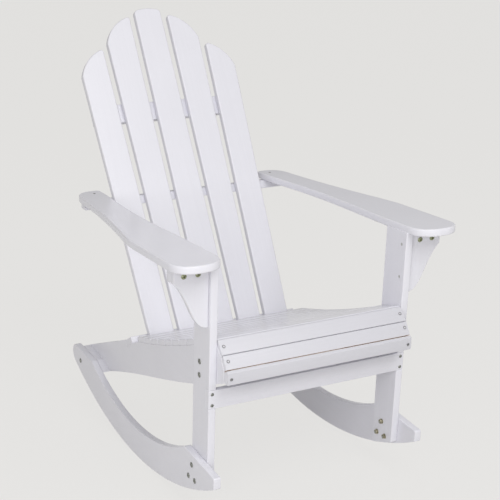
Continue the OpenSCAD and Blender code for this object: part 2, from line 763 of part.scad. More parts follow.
stand() left_front_leg();
stand() right_front_leg();
stand() left_stringer();
stand() right_stringer();
stand() left_rocker();
stand() right_rocker();
stand() left_rocker_spacer();
stand() right_rocker_spacer();
stand() left_arm();
stand() right_arm();
stand() left_arm_bracket();
stand() right_arm_bracket();
stand() left_arm_block();
stand() right_arm_block();
stand() front_apron();
stand() upper_front_board();
stand() middle_front_board();
stand() lower_front_board();
stand() wide_seat_board();
for (i = [1:slats]) stand() seat_slat(i);
for (i = [1:5]) stand() back_slat(i - 3);
stand() upper_back_brace();
stand() arm_rail();
stand() back_cleat();
stand() lower_back_rail();
stand() stringer_bolts();
stand() rocker_front_bolts();
stand() rocker_rear_bolts();
stand() bolt_washers();
stand() bolt_nuts();
stand() apron_screws();
stand() arm_screws();
stand() bracket_bolts();
stand() bracket_screws();
stand() front_board_screws();
stand() seat_slat_screws();
stand() brace_screws();
stand() arm_rail_screws();
stand() back_cleat_screws();
stand() lower_rail_screws();
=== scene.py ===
import math

import bpy
import numpy as np
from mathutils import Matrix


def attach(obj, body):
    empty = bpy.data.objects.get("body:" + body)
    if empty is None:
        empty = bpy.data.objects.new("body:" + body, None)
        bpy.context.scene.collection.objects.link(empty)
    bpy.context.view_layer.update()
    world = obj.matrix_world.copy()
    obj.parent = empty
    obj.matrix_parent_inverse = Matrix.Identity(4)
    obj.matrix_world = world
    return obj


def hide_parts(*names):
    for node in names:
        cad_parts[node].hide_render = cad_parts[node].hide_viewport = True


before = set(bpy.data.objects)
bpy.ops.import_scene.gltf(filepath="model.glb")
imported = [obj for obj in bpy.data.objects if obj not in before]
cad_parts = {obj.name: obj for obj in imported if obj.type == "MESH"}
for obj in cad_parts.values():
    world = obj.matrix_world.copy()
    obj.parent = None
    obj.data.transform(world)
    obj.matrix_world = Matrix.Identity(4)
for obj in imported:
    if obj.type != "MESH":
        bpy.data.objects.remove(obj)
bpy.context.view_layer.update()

# A white painted adirondack rocking chair: flat boards with sanded edges, held by bolts and screws.


# ---- rockers ----
# Two bows, bolted outside the front legs and through the tails of the stringers. Like every board
# of the chair, each is sawn from flat stock to an outline, sanded round at its edges and painted.
# Sizes are in millimetres with the legs plumb, and stand() gives the place in the balanced chair.

LEAN = math.radians(5.954)
BALANCE = -17.573
BOARD = 18.0
SOLE_MID = 473.0
SOLE_R = 1034.0
LEG_IN = 240.0
LEG_OUT = LEG_IN + BOARD


def stand(points):
    """Rolls points of the plumb chair forward by LEAN about the soles' centre, and gives metres."""
    y = points[:, 1] - SOLE_MID
    z = points[:, 2] - SOLE_R
    rolled = np.stack([points[:, 0],
                       y * math.cos(LEAN) - z * math.sin(LEAN) + BALANCE,
                       y * math.sin(LEAN) + z * math.cos(LEAN) + SOLE_R], 1)
    return rolled * 0.001


def arc(centre, radius, start, stop, steps=24):
    """Points centre + radius (cos a, sin a), for angles a from start to stop in degrees."""
    angle = np.radians(np.linspace(start, stop, steps + 1))
    return np.asarray(centre) + radius * np.stack([np.cos(angle), np.sin(angle)], 1)


def sawn(*runs):
    """Joins runs of points to one closed outline that turns left, without doubled points."""
    loop = np.concatenate([np.atleast_2d(np.asarray(run, float)) for run in runs])
    loop = loop[np.hypot(*(loop - np.roll(loop, 1, 0)).T) > 1e-3]
    x, y = loop.T
    turns_left = np.sum(x * np.roll(y, -1) - y * np.roll(x, -1)) > 0
    return loop if turns_left else loop[::-1]


SLIGHT_TURN = math.radians(20)


def rounded(loop, radius, steps=6):
    """Rounds each corner of more than SLIGHT_TURN with an arc. The arc touches the outline at
    radius tan(turn / 2) before and after the corner, and is a quadratic Bezier between these
    points whose handle, the corner, has the weight cos(turn / 2)."""
    closed = np.concatenate([loop, loop[:1]])
    side = np.diff(closed, axis=0)
    before = np.roll(side, 1, 0)
    run = np.concatenate([[0], np.cumsum(np.hypot(*side.T))])
    cross = before[:, 0] * side[:, 1] - before[:, 1] * side[:, 0]
    turn = np.abs(np.arctan2(cross, np.sum(before * side, 1)))
    corners = np.flatnonzero(turn > SLIGHT_TURN)
    middle = run[corners]
    room = (np.roll(middle, -1) - middle) % run[-1]
    reach = np.broadcast_to(radius, corners.shape) * np.tan(turn[corners] / 2)
    reach = np.minimum(reach, 0.48 * np.minimum(room, np.roll(room, 1)))
    off = np.abs((run[:-1, None] - middle + run[-1] / 2) % run[-1] - run[-1] / 2)
    kept = np.all(off > reach, 1)
    cuts = np.stack([middle - reach, middle + reach]) % run[-1]
    start, end = (np.stack([np.interp(cut, run, closed[:, axis]) for axis in (0, 1)], 1)
                  for cut in cuts)
    u = np.linspace(0, 1, steps + 1)[:, None, None]
    pull = 2 * u * (1 - u) * np.cos(turn[corners] / 2)[:, None]
    ends = (1 - u) ** 2 * start + u ** 2 * end
    curve = (ends + pull * loop[corners]) / ((1 - u) ** 2 + u ** 2 + pull)
    place = (middle + reach * (2 * u[:, :, 0] - 1)) % run[-1]
    points = np.concatenate([loop[kept], curve.reshape(-1, 2)])
    return points[np.argsort(np.concatenate([run[:-1][kept], place.ravel()]))]


def inset(loop, depth):
    """Moves each point of a loop that turns left inwards along the mean of its two edge normals,
    far enough for both edges to move by depth."""
    edge = np.roll(loop, -1, 0) - loop
    normal = np.stack([-edge[:, 1], edge[:, 0]], 1) / np.hypot(*edge.T)[:, None]
    mean = normal + np.roll(normal, 1, 0)
    return loop + depth * 2 * mean / np.sum(mean * mean, 1)[:, None]


class Cut:
    """Where a board lies: the origin of its outline and the directions of the outline's two axes.
    The third direction is theirs crossed, and the board's thickness lies along it."""

    def __init__(self, origin, across, up):
        self.origin = np.array(origin, float)
        self.across = np.array(across, float)
        self.up = np.array(up, float)
        self.through = np.cross(self.across, self.up)

    def place(self, local):
        return self.origin + local @ np.stack([self.across, self.up, self.through])


FLAT_RIM = 0.4


def board(name, loop, thickness, cut, ease, grain, mirror=False, paint=None):
    """A board sawn to the outline loop, with its edges sanded to quarter rounds of radius ease.
    Ring k is the outline moved in by ease (1 - sin a) at the height ease (1 - cos a), for angles a
    from 0 to 90 degrees, and the same from the other face. A last ring FLAT_RIM inside each rounding
    holds the face flat, so an outline's corners are rounded by more than ease + FLAT_RIM. The
    attribute grain is the place in the board with the fibres along its first number, and edge is 1
    on the roundings."""
    angle = np.radians(np.linspace(0, 90, 5))
    depth = np.concatenate([[ease + FLAT_RIM], ease * (1 - np.sin(angle))])
    height = np.concatenate([[0.0], ease * (1 - np.cos(angle))])
    on_edge = np.concatenate([[0.0], np.sin(2 * angle) ** 0.5])
    depth = np.concatenate([depth, depth[::-1]])
    height = np.concatenate([height, thickness - height[::-1]])
    on_edge = np.concatenate([on_edge, on_edge[::-1]])
    rings = len(depth)
    count = len(loop)
    flat = np.stack([inset(loop, d) for d in depth])
    level = np.broadcast_to(height[:, None, None], (rings, count, 1))
    local = np.concatenate([flat, level], 2).reshape(-1, 3)
    placed = cut.place(local)
    here = np.arange(count)
    after = np.roll(here, -1)
    ring = np.arange(rings - 1)[:, None] * count
    quads = np.stack([ring + here, ring + after, ring + count + after, ring + count + here], 2)
    quads = quads.reshape(-1, 4)
    lower = here[::-1]
    upper = (rings - 1) * count + here
    if mirror:
        placed[:, 0] *= -1
        quads = quads[:, ::-1]
        lower = lower[::-1]
        upper = upper[::-1]
    mesh = bpy.data.meshes.new(name)
    mesh.from_pydata(stand(placed), [], quads.tolist() + [lower.tolist(), upper.tolist()])
    mesh.polygons.foreach_set("use_smooth", np.ones(len(mesh.polygons), bool))
    seed = (sum(map(ord, name)) * 0.37) % 5.0
    along = local[:, list(grain)] * 0.001 + np.array([seed, 1.7 * seed, 0.3 * seed])
    mesh.attributes.new("grain", "FLOAT_VECTOR", "POINT").data.foreach_set("vector", along.ravel())
    worn = np.repeat(on_edge, count)
    mesh.attributes.new("edge", "FLOAT", "POINT").data.foreach_set("value", worn)
    piece = bpy.data.objects.new(name, mesh)
    bpy.context.collection.objects.link(piece)
    mesh.materials.append(paint or white_paint)
    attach(piece, "root")
    return piece


class Value:
    """A number that varies over a finish. Sums, differences and products of values add Math nodes."""

    def __init__(self, finish, socket):
        self.finish = finish
        self.socket = socket

    def _math(self, operation, *numbers):
        return self.finish.node("ShaderNodeMath", {"operation": operation}, dict(enumerate(numbers)))

    def __add__(self, other):
        return self._math("ADD", self, other)

    def __sub__(self, other):
        return self._math("SUBTRACT", self, other)

    def __rsub__(self, other):
        return self._math("SUBTRACT", other, self)

    def __mul__(self, other):
        return self._math("MULTIPLY", self, other)

    __radd__ = __add__
    __rmul__ = __mul__

    def between(self, low, high):
        """0 below low, 1 above high, and a straight rise between them."""
        return self.finish.node("ShaderNodeMapRange", {"clamp": True}, {0: self, 1: low, 2: high})


class Finish:
    """A material whose constants are set on its shader and whose varying values come from nodes."""

    def __init__(self, name, **constants):
        self.material = bpy.data.materials.new(name)
        self.material.use_nodes = True
        self.tree = self.material.node_tree
        self.shader = self.tree.nodes["Principled BSDF"]
        for key, value in constants.items():
            self.shader.inputs[key.replace("_", " ")].default_value = value

    def node(self, kind, settings=None, sockets=None, output=0):
        made = self.tree.nodes.new(kind)
        for key, value in (settings or {}).items():
            setattr(made, key, value)
        for key, value in (sockets or {}).items():
            self.feed(made.inputs[key], value)
        return Value(self, made.outputs[output])

    def feed(self, socket, value):
        if isinstance(value, Value):
            self.tree.links.new(value.socket, socket)
        else:
            socket.default_value = value

    def noise(self, place, scale, detail=2.0, roughness=0.5):
        return self.node("ShaderNodeTexNoise", None, {"Vector": place, "Scale": scale,
                                                      "Detail": detail, "Roughness": roughness})

    def stretched(self, place, scale):
        return self.node("ShaderNodeMapping", None, {"Vector": place, "Scale": scale})

    def mixed(self, part, first, second):
        """The colour first where part is 0 and second where it is 1."""
        return self.node("ShaderNodeMix", {"data_type": "RGBA"}, {0: part, 6: first, 7: second}, 2)

    def raised(self, height, strength, distance):
        return self.node("ShaderNodeBump", None, {"Strength": strength, "Distance": distance,
                                                  "Height": height})

    def finished(self, **varying):
        for key, value in varying.items():
            self.feed(self.shader.inputs[key.replace("_", " ")], value)
        return self.material


def brushed_white(name, sanded_board, tone=1.0):
    """Satin white paint, two coats brushed along the fibres. Fibres and pores of the wood show
    through as fine long ridges, the paint is a little thicker and whiter between them, and thin
    with a hint of the wood on the sanded edges. A tone below 1 makes the paint darker and rougher."""

    def white_of(red, green, blue):
        return red * tone, green * tone, blue * tone, 1

    paint = Finish(name, Specular_IOR_Level=0.5, IOR=1.46)
    if sanded_board:
        place = paint.node("ShaderNodeAttribute", {"attribute_name": "grain"}, None, 1)
        edge = paint.node("ShaderNodeAttribute", {"attribute_name": "edge"}, None, 2)
    else:
        place = paint.node("ShaderNodeTexCoord", None, None, 3)
        edge = 0.3
    fibres = paint.noise(paint.stretched(place, (14, 900, 900)), 1.0, 3.0, 0.6)
    pores = paint.noise(paint.stretched(place, (40, 1600, 1600)), 1.0, 1.0).between(0.62, 0.78)
    strokes = paint.noise(paint.stretched(place, (3, 160, 160)), 1.0, 2.0)
    clouds = paint.noise(place, 7.0, 2.0)
    specks = paint.noise(place, 260.0, 2.0).between(0.66, 0.74)
    thin = (edge * paint.noise(place, 60.0, 3.0)).between(0.42, 0.72)
    white = paint.mixed(clouds, white_of(0.797, 0.793, 0.85), white_of(0.838, 0.834, 0.893))
    streaked = paint.mixed(strokes.between(0.3, 0.8) * 0.35, white, white_of(0.767, 0.763, 0.82))
    grained = paint.mixed(pores * 0.22 + specks * 0.10, streaked, white_of(0.66, 0.65, 0.67))
    worn = paint.mixed(thin * 0.35, grained, white_of(0.70, 0.66, 0.615))
    height = fibres * 0.45 + strokes * 0.55 - pores * 0.5
    gloss = 1.17 - tone + strokes * 0.10 + fibres * 0.05 + thin * 0.15
    return paint.finished(Base_Color=worn, Roughness=gloss,
                          Normal=paint.raised(height, 0.25, 0.0001))


white_paint = brushed_white("white_paint", True)

HOLLOW = np.array([461.0, 790.0])
HOLLOW_R = 712.0
TOE = np.array([-72.0, 183.0])
HEEL_H = 124.0
TAIL_Y = 839.0
TAIL_R = 26.0
ROCKER_EASE = 1.6


def sole(y, lift=0.0):
    """Height of the sole's circle, or of one lift inside it, at a distance y from the legs' front."""
    return SOLE_R - math.sqrt((SOLE_R - lift) ** 2 - (y - SOLE_MID) ** 2)


def hollow_y(height, side):
    """Where the hollow's circle is at a height: before its centre for side -1, behind it for 1."""
    return HOLLOW[0] + side * math.sqrt(HOLLOW_R ** 2 - (HOLLOW[1] - height) ** 2)


def bearing(centre, y, z):
    """The direction in degrees, up from level, of a point as seen from the centre."""
    return math.degrees(math.atan2(z - centre[1], y - centre[0]))


def rocker_outline():
    """Sole, round tail, straight heel, hollow and flat toe, counter-clockwise from the toe."""
    middle = (SOLE_MID, SOLE_R)
    tail_z = SOLE_R - math.sqrt((SOLE_R - TAIL_R) ** 2 - (TAIL_Y - SOLE_MID) ** 2)
    tail_angle = bearing(middle, TAIL_Y, tail_z)
    toe_angle = bearing(middle, TOE[0], sole(TOE[0])) - 360
    heel = (hollow_y(HEEL_H, 1), HEEL_H)
    toe_end = (hollow_y(TOE[1], -1), TOE[1])
    return sawn(arc(middle, SOLE_R, toe_angle + 360, tail_angle, 64),
                arc((TAIL_Y, tail_z), TAIL_R, tail_angle, 90, 20),
                arc(HOLLOW, HOLLOW_R, bearing(HOLLOW, *heel), bearing(HOLLOW, *toe_end), 48),
                TOE)


def upright(x):
    """The cut of a board that stands lengthwise in the chair with its inner face at x."""
    return Cut((x, 0, 0), (0, 1, 0), (0, 0, 1))


def both_sides(name, loop, cut, ease, grain, ending="_board", thickness=BOARD):
    """The board on the right and its mirror image on the left, each in place of its solid."""
    for side in ("left", "right"):
        node = side + "_" + name
        piece = board(node + ending, loop, thickness, cut, ease, grain, side == "left")
        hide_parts(node)


both_sides("rocker", rounded(rocker_outline(), 4.0), upright(LEG_OUT), ROCKER_EASE, (0, 1, 2), "_bow")


# ---- legs and tail spacers ----
# The front legs are plumb 83 mm boards, cut to the arms' slope at the top and notched for the
# apron. A short offcut fills the gap between each rocker's tail and its stringer.

LEG_W = 83.0
ARM_SLOPE = math.radians(5.9)
ARM_H = 664.0
APRON_T = 14.0
APRON_H = 46.0
APRON_Z = 316.0
APRON_TOP = APRON_Z + APRON_H
# how far the legs' feet end above the soles
FOOT_LIFT = 5.5
# how far the ends of legs, brackets and blocks run up into the arms, out of sight
TENON = 4.0


def under_arm(y):
    """Height of the arms' underside at a distance y from the legs' front."""
    return ARM_H - y * math.tan(ARM_SLOPE)


leg = sawn((0, sole(0, FOOT_LIFT)), (LEG_W / 2, sole(LEG_W / 2, FOOT_LIFT)),
           (LEG_W, sole(LEG_W, FOOT_LIFT)), (LEG_W, under_arm(LEG_W) + TENON),
           (0, under_arm(0) + TENON), (0, APRON_TOP), (APRON_T, APRON_TOP), (APRON_T, APRON_Z),
           (0, APRON_Z))
leg = rounded(leg, (3.0, 3.0, 2.0, 2.0, 2.0, 0.6, 0.6, 2.0))
both_sides("front_leg", leg, upright(LEG_IN), 1.5, (1, 0, 2))

offcut_paint = brushed_white("offcut_paint", False)
for side in ("left", "right"):
    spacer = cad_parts[side + "_rocker_spacer"]
    spacer.data.materials.clear()
    spacer.data.materials.append(offcut_paint)


# ---- apron ----
# A thin rail let into the front edges of the legs, flush with them, and held by two round-headed
# screws at each end.

def crossbar(name, section, half, ease, node=None, paint=None):
    """A board across the chair, from its section in Y and Z, with the fibres along X."""
    piece = board(name, section, 2 * half, upright(-half), ease, (2, 0, 1), False, paint)
    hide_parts(node or name[:name.rindex("_")])
    return piece


def bar(y0, z0, y1, z1):
    """The square-edged section of a bar between two of its corners."""
    return sawn((y0, z0), (y1, z0), (y1, z1), (y0, z1))


crossbar("front_apron_rail", rounded(bar(0, APRON_Z, APRON_T, APRON_TOP), 1.8), LEG_OUT, 1.2,
         "front_apron")


# ---- stringers ----
# The long curved side boards that carry the seat: they are bolted inside the legs at the front
# and to the rockers' tails at the rear. Their upper edge is stepped in short flats for the slats.

SLAT_T = 13.0
SLATS = 9
SLAT_PITCH = 46.0
SLAT_GAP = 2.5
FIRST_TILT = 26.0
LAST_TILT = 19.0
WIDE_W = 78.0
WIDE_TILT = math.radians(20.5)
UPPER_W = 33.0
UPPER_TILT = math.radians(42.7)
MIDDLE_W = 30.0
MIDDLE_TILT = math.radians(60)
LOWER_H = 26.0
CHIN = 2.0
NOSE = np.array([3.0, 471.0])
BACK_TILT = math.radians(34.4)
CLEAT_T = 20.0
LOWER_RAIL_S = 50.0
LOWER_RAIL_W = 44.0
STRINGER_IN = LEG_IN - BOARD
STRINGER_END_R = 40.0
# how steeply the lower edge falls at its two ends, and how far that pulls the curve between them
REAR_FALL = 27.0
REAR_PULL = 345.0
FRONT_FALL = 26.5
FRONT_PULL = 340.0
# how far the back's front face is behind the last seat slat, and the back's foot below it
BACK_GAP = 10.5
FOOT_DROP = 51.0
HEEL_BOLT = np.array([TAIL_Y - 1.5 * TAIL_R, (sole(TAIL_Y - 1.5 * TAIL_R) + HEEL_H) / 2])

slat_tilts = np.radians(np.linspace(FIRST_TILT, LAST_TILT, SLATS))
falls = np.concatenate([[WIDE_TILT], slat_tilts])
runs = np.concatenate([[WIDE_W], np.full(SLATS, SLAT_PITCH)])
steps_down = runs[:, None] * np.stack([np.cos(falls), -np.sin(falls)], 1)
seat = np.concatenate([[NOSE], NOSE + np.cumsum(steps_down, 0)])
upper_corner = NOSE - UPPER_W * np.array([math.cos(UPPER_TILT), math.sin(UPPER_TILT)])
middle_corner = upper_corner - MIDDLE_W * np.array([math.cos(MIDDLE_TILT), math.sin(MIDDLE_TILT)])
up_back = np.array([math.sin(BACK_TILT), math.cos(BACK_TILT)])
through_back = np.array([math.cos(BACK_TILT), -math.sin(BACK_TILT)])
back_foot = seat[-1] + (BACK_GAP, 0) - FOOT_DROP * up_back


def behind(s, depth):
    """The point of the back's side view at s up from its foot and depth behind its front face."""
    return back_foot + s * up_back + depth * through_back


def bent(a, b, c, d, steps=20):
    """A cubic Bezier curve from a to d with the handles b and c."""
    t = np.linspace(0, 1, steps + 1)[:, None]
    a, b, c, d = (np.asarray(point, float) for point in (a, b, c, d))
    return (1 - t) ** 3 * a + 3 * (1 - t) ** 2 * t * b + 3 * (1 - t) * t * t * c + t ** 3 * d


def downhill(length, degrees):
    """The step of a length that goes back and falls by an angle in degrees."""
    angle = math.radians(degrees)
    return length * np.array([math.cos(angle), -math.sin(angle)])


def stringer_outline():
    """Front edge, stepped seat edge, the rail's ledge, the round end about the tail's bolt, and the
    long S-shaped lower edge."""
    front = middle_corner - (0, LOWER_H + CHIN)
    fall = math.radians(REAR_FALL)
    rear = HEEL_BOLT - STRINGER_END_R * np.array([math.sin(fall), math.cos(fall)])
    rail_top = behind(LOWER_RAIL_S + BOARD, BOARD + CLEAT_T + LOWER_RAIL_W)
    reach = rail_top - HEEL_BOLT
    touch = bearing(HEEL_BOLT, *rail_top) - math.degrees(math.acos(STRINGER_END_R / np.hypot(*reach)))
    return sawn(middle_corner, upper_corner, seat, behind(LOWER_RAIL_S, BOARD + CLEAT_T),
                behind(LOWER_RAIL_S, BOARD + CLEAT_T + LOWER_RAIL_W), rail_top,
                arc(HEEL_BOLT, STRINGER_END_R, touch, -90 - REAR_FALL),
                bent(rear, rear - downhill(REAR_PULL, REAR_FALL),
                     front + downhill(FRONT_PULL, FRONT_FALL), front, 40))


both_sides("stringer", rounded(stringer_outline(), 2.0), upright(STRINGER_IN), 1.2, (0, 1, 2))


# ---- seat ----
# Three narrow boards curl over the front with fine mitred joints, and bare wood shows in the lower
# one. Then a wide board and nine slats of 13 mm stock follow the stringers, with their upper edges
# rounded, so that a soft groove shows at every joint.

FRONT_GAP = 1.5
END_GAP = 1.5
FRONT_EASE = 0.35
# how close to the lower joint's middle a face is bare
BARE_BAND = 1.2
SLAT_EASE = 1.2
UPPER_BEND = np.array([-26.3, 458.5])
LOWER_BEND = np.array([-47.4, 430.2])
CHIN_TOP = np.array([-54.4, 425.8])
CHIN_END = 395.2
# The front boards' faces take a darker and rougher white than the rest of the chair, and their ends
# keep the plain white.
darkened_white = brushed_white("darkened_white", True, 0.82)


def sloped(corner, tilt, y0, z0, y1, z1):
    """A bar's section with its sides along and across a slope that falls by tilt from the corner."""
    along = np.array([math.cos(tilt), -math.sin(tilt)])
    off = np.array([math.sin(tilt), math.cos(tilt)])
    return corner + bar(y0, z0, y1, z1) @ np.stack([along, off])


def crossing(p, p_way, q, q_way):
    """Where the line through p along p_way meets the line through q along q_way."""
    part = np.linalg.solve(np.stack([p_way, -np.asarray(q_way)], 1), np.asarray(q) - p)
    return np.asarray(p) + part[0] * np.asarray(p_way)


up_slope = np.array([math.cos(UPPER_TILT), math.sin(UPPER_TILT)])
seat_level = NOSE + (0, SLAT_T * math.cos(WIDE_TILT))
wide_up = (math.sin(WIDE_TILT), math.cos(WIDE_TILT))
upper_section_top = crossing(seat_level, (1, 0), UPPER_BEND, up_slope)
upper_section = sawn(upper_corner, NOSE, crossing(seat_level, (1, 0), NOSE, wide_up),
                     upper_section_top, UPPER_BEND)
middle_section = sawn(middle_corner, upper_corner, UPPER_BEND, LOWER_BEND)
lower_section = sawn((CHIN_TOP[0], CHIN_END), (middle_corner[0], CHIN_END), middle_corner, LOWER_BEND,
                     CHIN_TOP)


def raw_pine():
    """Unpainted pine: long brown rings across a pale ground."""
    finish = Finish("raw_pine", Roughness=0.65)
    place = finish.node("ShaderNodeAttribute", {"attribute_name": "grain"}, None, 1)
    rings = finish.noise(finish.stretched(place, (4, 260, 260)), 1.0, 3.0).between(0.35, 0.7)
    wood = finish.mixed(rings, (0.64, 0.47, 0.37, 1), (0.48, 0.33, 0.24, 1))
    return finish.finished(Base_Color=wood, Normal=finish.raised(rings, 0.4, 0.0002))


def front_board(name, section, corners, raw=False):
    """A front board from its section, with its ends whiter than its faces. With raw, its faces along
    the lowest joint stay unpainted."""
    section = rounded(inset(section, FRONT_GAP / 2), corners)
    piece = crossbar(name, section, LEG_IN - END_GAP, FRONT_EASE, paint=darkened_white)
    middle = (section + np.roll(section, -1, 0)) / 2
    way = (LOWER_BEND - middle_corner) / np.hypot(*(LOWER_BEND - middle_corner))
    in_joint = raw & (np.abs((middle - middle_corner) @ (-way[1], way[0])) < BARE_BAND)
    sides = len(piece.data.polygons) // len(section)
    for finish in (white_paint, bare_pine):
        piece.data.materials.append(finish)
    paints = np.concatenate([np.tile(2 * in_joint, sides), (1, 1)]).astype(np.int32)
    piece.data.polygons.foreach_set("material_index", paints)


bare_pine = raw_pine()
front_board("upper_front_board_top", upper_section, (0.8, 0.8, 0.8, 4.0, 0.9))
front_board("middle_front_board_face", middle_section, 0.9, True)
front_board("lower_front_board_face", lower_section, (2.0, 0.8, 0.8, 0.9, 1.6), True)
wide_section = sloped(NOSE, WIDE_TILT, 0, 0, WIDE_W - SLAT_GAP / 2, SLAT_T)
crossbar("wide_seat_board_face", rounded(wide_section, (1.8, 1.8, 3.5, 2.0)), LEG_IN, SLAT_EASE)
for number, (corner, tilt) in enumerate(zip(seat[1:], slat_tilts), 1):
    section = sloped(corner, tilt, SLAT_GAP / 2, 0, SLAT_PITCH - SLAT_GAP / 2, SLAT_T)
    crossbar(f"seat_slat_{number}_board", rounded(section, (1.8, 1.8, 4.0, 4.0)), LEG_IN, SLAT_EASE)


# ---- back ----
# Five tapered slats spread like a fan, their tops sawn to one broken arch. A brace high up, the
# rail under the arms, a cleat at the feet and a rail across the stringers hold them from behind.

CENTRE_LEN = 961.0
CROWN_R = 110.0
FOOT_WIDTHS = (77.5, 63.0, 68.0)
HEAD_WIDTHS = (77.5, 82.0, 77.5)
FOOT_GAP = 15.0
HEAD_GAP = 17.5
SHOULDERS = (0, 21.0, 111.0)
SHOULDER_FALL = 75.0
BACK_EASE = 3.2
BAR_EASE = 1.6
BRACE_S = 642.0
BRACE_H = 52.0
BRACE_HALF = 216.0
CLEAT_H = 64.0
RAIL_H = 19.0
RAIL_W = 18.0
RAIL_HALF = 293.5


def slat_edges(k, s):
    """Inner and outer edge, in X, of the kth slat from the middle at s up from its foot."""
    part = s / CENTRE_LEN
    if k == 0:
        return -FOOT_WIDTHS[0] / 2, FOOT_WIDTHS[0] / 2
    foot_x = FOOT_WIDTHS[0] / 2 + k * FOOT_GAP + (k - 1) * FOOT_WIDTHS[1]
    head_x = HEAD_WIDTHS[0] / 2 + k * HEAD_GAP + (k - 1) * HEAD_WIDTHS[1]
    near = foot_x + (head_x - foot_x) * part
    return near, near + FOOT_WIDTHS[k] + (HEAD_WIDTHS[k] - FOOT_WIDTHS[k]) * part


def back_slat_outline(k):
    """A tapered strip with its top cut to an arc between a high inner and a low outer shoulder."""
    if k == 0:
        half = FOOT_WIDTHS[0] / 2
        lean_in = math.degrees(math.asin(half / CROWN_R))
        crown = arc((0, CENTRE_LEN - CROWN_R), CROWN_R, 90 - lean_in, 90 + lean_in)
        return sawn((-half, 0), (half, 0), crown)
    high = CENTRE_LEN - SHOULDERS[k]
    low = high - SHOULDER_FALL
    p = np.array([slat_edges(k, high)[0], high])
    q = np.array([slat_edges(k, low)[1], low])
    chord = q - p
    normal = np.array([chord[1], -chord[0]]) / np.hypot(*chord)
    centre = (p + q) / 2 + math.sqrt(CROWN_R ** 2 - chord @ chord / 4) * normal
    return sawn((slat_edges(k, 0)[0], 0), (slat_edges(k, 0)[1], 0),
                arc(centre, CROWN_R, bearing(centre, *q), bearing(centre, *p)))


def in_chair(x, point):
    """A point or direction of the side view, at x across the chair."""
    return np.array([x, *point])


back_cut = Cut(in_chair(0, behind(0, BOARD)), (1, 0, 0), in_chair(0, up_back))
for k, radii in enumerate(((4, 4, 13, 13), (4, 4, 7), (4, 4, 7))):
    loop = rounded(back_slat_outline(k), radii, 8)
    for side in (-1, 1) if k else (1,):
        node = f"back_slat_{3 + side * k}"
        piece = board(node + "_board", loop, BOARD, back_cut, BACK_EASE, (1, 0, 2), side < 0)
        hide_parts(node)


def back_bar(name, depth, height, near, low, half):
    """A crossbar behind the slats, its sides along and across the back."""
    square = bar(near, low, near + depth, low + height)
    section = behind(0, 0) + square @ np.stack([through_back, up_back])
    crossbar(name, rounded(sawn(section), BAR_EASE + 0.5), half, BAR_EASE)


def meets_arm():
    """Where the line up the slats' rear face meets the arms' underside, in Y and Z."""
    under_way = (math.cos(ARM_SLOPE), -math.sin(ARM_SLOPE))
    return crossing(behind(0, BOARD), up_back, (0, ARM_H), under_way)


back_bar("upper_back_brace_bar", BOARD, BRACE_H, BOARD, BRACE_S, BRACE_HALF)
back_bar("back_cleat_bar", CLEAT_T, CLEAT_H, BOARD, 0, STRINGER_IN)
back_bar("lower_back_rail_bar", LOWER_RAIL_W, BOARD, BOARD + CLEAT_T, LOWER_RAIL_S, LEG_IN)
rail_front = meets_arm()
rail_rear = rail_front + (RAIL_W, -RAIL_W * math.tan(ARM_SLOPE))
rail_section = sawn(rail_front - (RAIL_H * math.tan(BACK_TILT), RAIL_H), rail_rear - (0, RAIL_H),
                    rail_rear, rail_front)
crossbar("arm_rail_bar", rounded(rail_section, 1.5), RAIL_HALF, 1.0)


# ---- arm brackets and blocks ----
# Each arm rests on a leg, on a bracket with an S-shaped side that is screwed to the leg's outer
# face, and on a block bolted behind the bracket.

BRACKET_W = 83.0
BRACKET_END_H = 37.0
BRACKET_DROP = 114.0
BRACKET_IN = 9.0
BLOCK_T = 20.0
BLOCK_H = 42.0


def facing_front(y):
    """The cut of a board that stands across the chair with its rear face at y."""
    return Cut((0, y, 0), (1, 0, 0), (0, 0, 1))


bracket_outer = LEG_OUT + BRACKET_W
bracket_middle = bracket_outer - BRACKET_W / 2
shelf = ARM_H - BRACKET_END_H
bracket = sawn((LEG_OUT, under_arm(BRACKET_IN) + TENON),
               bent((LEG_OUT, shelf - BRACKET_DROP), (bracket_middle, shelf - BRACKET_DROP),
                    (bracket_middle, shelf - 0.38 * BRACKET_DROP), (bracket_outer, shelf)),
               (bracket_outer, under_arm(BRACKET_IN) + TENON))
bracket_rear = BRACKET_IN + BOARD
both_sides("arm_bracket", rounded(bracket, 2.5), facing_front(bracket_rear), 1.8, (1, 0, 2))
block = bar(LEG_OUT, ARM_H - BLOCK_H, bracket_outer, under_arm(bracket_rear) + TENON)
both_sides("arm_block", rounded(block, 2.0), facing_front(bracket_rear + BLOCK_T), 1.5, (0, 1, 2),
           "_wood", BLOCK_T)


# ---- arms ----
# Broad tapering boards with well rounded edges. They are widest over the brackets, hollowed a
# little on the inside, and swing in to narrow ends that are screwed down to the arm rail.

ARM_IN = LEG_IN + 2.5
ARM_OUT = bracket_outer + 18.5
ARM_WAIST = ARM_IN + 8.0
ARM_REAR_IN = ARM_IN - 7.5
ARM_REAR_W = 71.5
ARM_REAR_OUT = ARM_REAR_IN + ARM_REAR_W
ARM_FRONT = 55.5
ARM_TAIL = 26.0
ARM_REAR = rail_rear[0] / math.cos(ARM_SLOPE) + ARM_TAIL
ARM_LEN = ARM_FRONT + ARM_REAR


def arm_pt(x, part):
    """The point of the arm's outline at x and a part of its length from the front."""
    return x, part * ARM_LEN - ARM_FRONT


def swept(p, corner, q):
    """A rounded corner from p to q, with handles that reach 0.6 of the way to the corner."""
    p, corner, q = (np.array(point, float) for point in (p, corner, q))
    return bent(p, p + 0.6 * (corner - p), q + 0.6 * (corner - q), q, 14)


